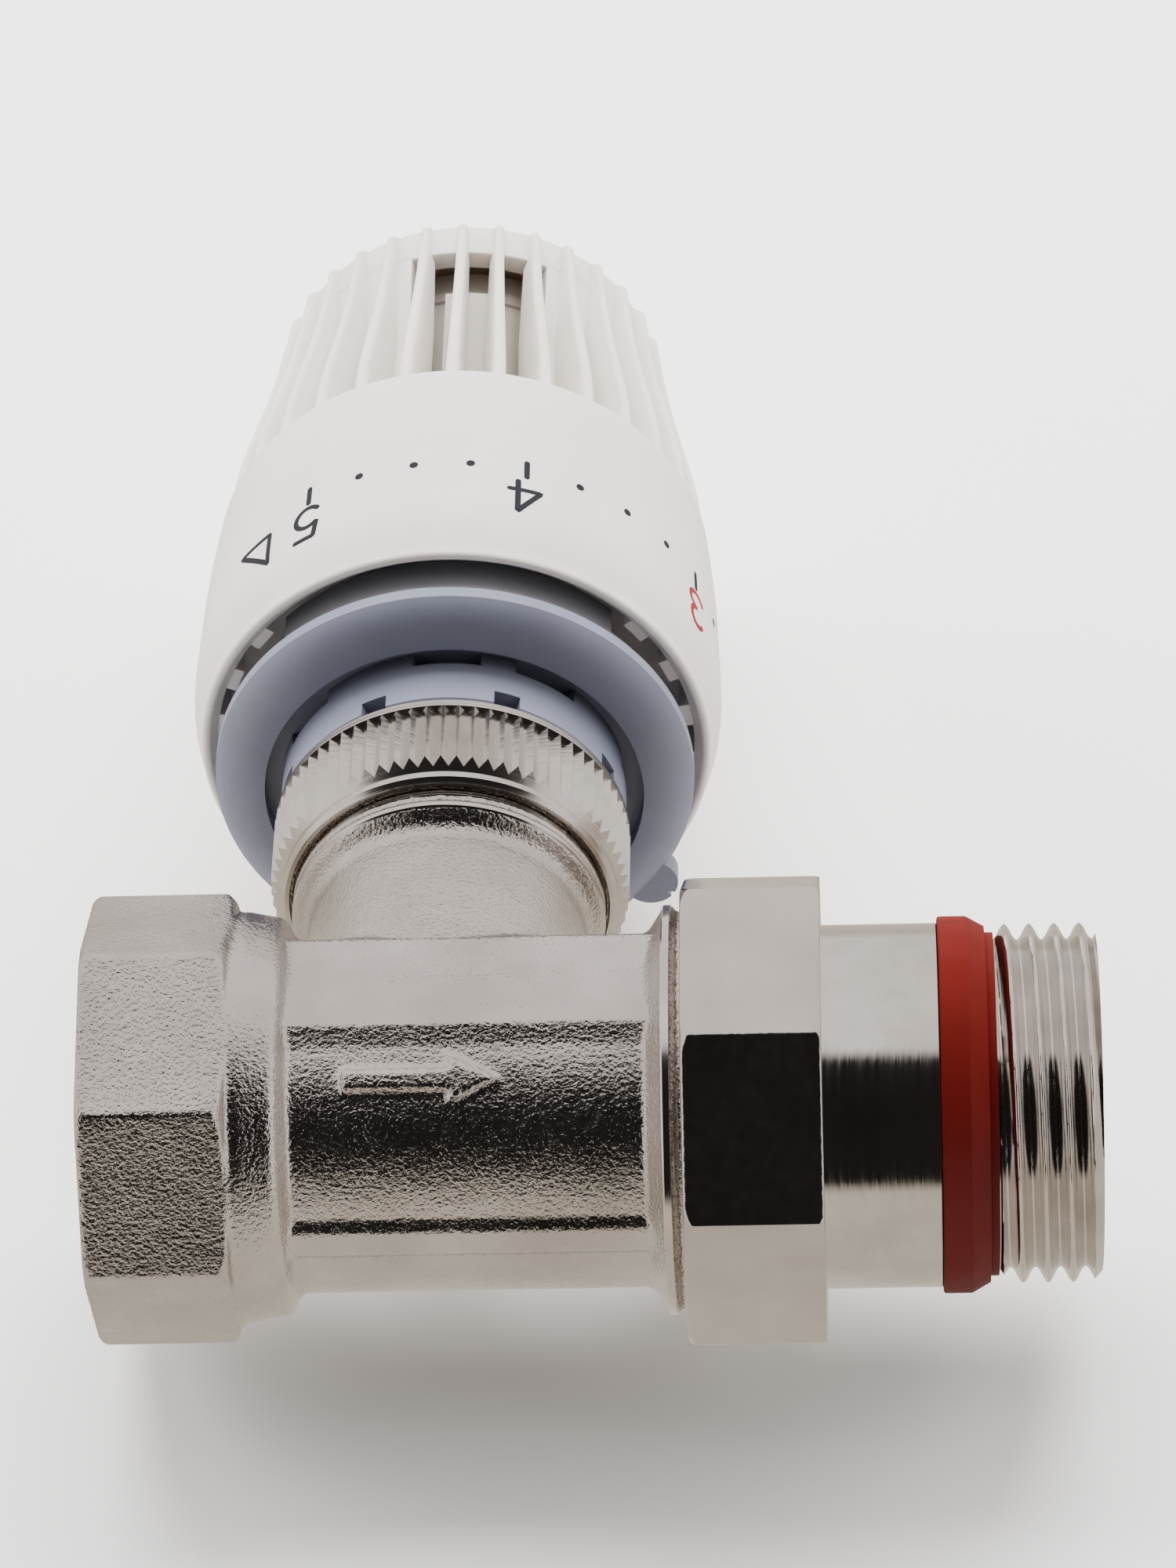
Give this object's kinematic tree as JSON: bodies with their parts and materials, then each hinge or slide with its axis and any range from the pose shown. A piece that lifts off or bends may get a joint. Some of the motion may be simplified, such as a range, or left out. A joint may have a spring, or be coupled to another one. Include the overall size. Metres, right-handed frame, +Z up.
{
  "type": "thermostatic radiator valve",
  "caption": "Straight thermostatic radiator valve with union tail, inner valve insert and a ribbed thermostatic head that turns to set the temperature.",
  "frame": {"origin": "centre of the inlet's end face, on the waterway's axis", "axes": "+X along the flow to the tail, +Y along the thermostatic head away from the body, +Z up with the head level"},
  "size_m": [0.093, 0.1343, 0.052],
  "materials": {
    "forged_nickel": "blasted nickel plate on forged brass",
    "turned_nickel": "fine-turned nickel plate on brass",
    "brass": "turned brass",
    "steel": "drawn stainless steel",
    "black_rubber": "moulded EPDM rubber",
    "red_seal": "moulded red silicone",
    "fibre": "pressed fibre",
    "base_plastic": "fine-textured blue-grey moulding",
    "grey_plastic": "dark grey moulding",
    "white_plastic": "satin warm white moulding",
    "carrier_plastic": "light grey moulding",
    "sensor_metal": "drawn satin can"
  },
  "bodies": {
    "root": {"valve_body": "forged_nickel", "insert_bonnet": "brass", "insert_o_ring": "black_rubber", "gland_nut": "brass", "gland_o_rings": "black_rubber", "return_spring": "steel", "head_base": "base_plastic", "limit_ring": "grey_plastic", "nut_retaining_ring": "steel", "knob_retaining_ring": "steel"},
    "tail": {"union_tail": "turned_nickel", "tail_seal": "red_seal", "union_gasket": "fibre"},
    "union_nut": {"union_nut": "forged_nickel"},
    "knurled_nut": {"knurled_nut": "turned_nickel"},
    "knob": {"knob": "white_plastic", "end_cap": "white_plastic"},
    "sensor_carriage": {"sensor_carrier": "carrier_plastic", "sensor_can": "sensor_metal", "sensor_base": "carrier_plastic", "spring_cup": "carrier_plastic", "overtravel_spring": "steel"},
    "pin_stack": {"transmission_pin": "carrier_plastic", "push_pin": "steel", "spindle": "steel", "spindle_clip": "steel", "disc_holder": "brass", "disc_seal": "black_rubber", "disc_washer": "brass", "disc_nut": "brass"}
  },
  "joints": [
    {"name": "union_nut_turn", "type": "hinge", "parent": "root", "child": "union_nut", "pos_m": [0.0612, 0, 0], "axis": [1, 0, 0], "continuous": true},
    {"name": "tail_swivel", "type": "hinge", "parent": "root", "child": "tail", "pos_m": [0.078, 0, 0], "axis": [1, 0, 0], "continuous": true},
    {"name": "knurled_nut_turn", "type": "hinge", "parent": "root", "child": "knurled_nut", "pos_m": [0.032, 0.034, 0], "axis": [0, 1, 0], "continuous": true},
    {"name": "knob_turn", "type": "hinge", "parent": "root", "child": "knob", "pos_m": [0.032, 0.06, 0], "axis": [0, 1, 0], "range_deg": [-88.8, 157.7]},
    {"name": "sensor_travel", "type": "slide", "parent": "root", "child": "sensor_carriage", "axis": [0, 1, 0], "range_m": [-0.00111, 0.00197]},
    {"name": "pin_stroke", "type": "slide", "parent": "sensor_carriage", "child": "pin_stack", "axis": [0, 1, 0], "range_m": [-0.00066, 0], "stiffness_N_per_m": 1500, "springref_m": 0.001, "deforming": ["return_spring"]}
  ],
  "couplings": [
    {"joint": "sensor_travel", "follows": "knob_turn", "m_per_rad": 0.0007162}
  ]
}
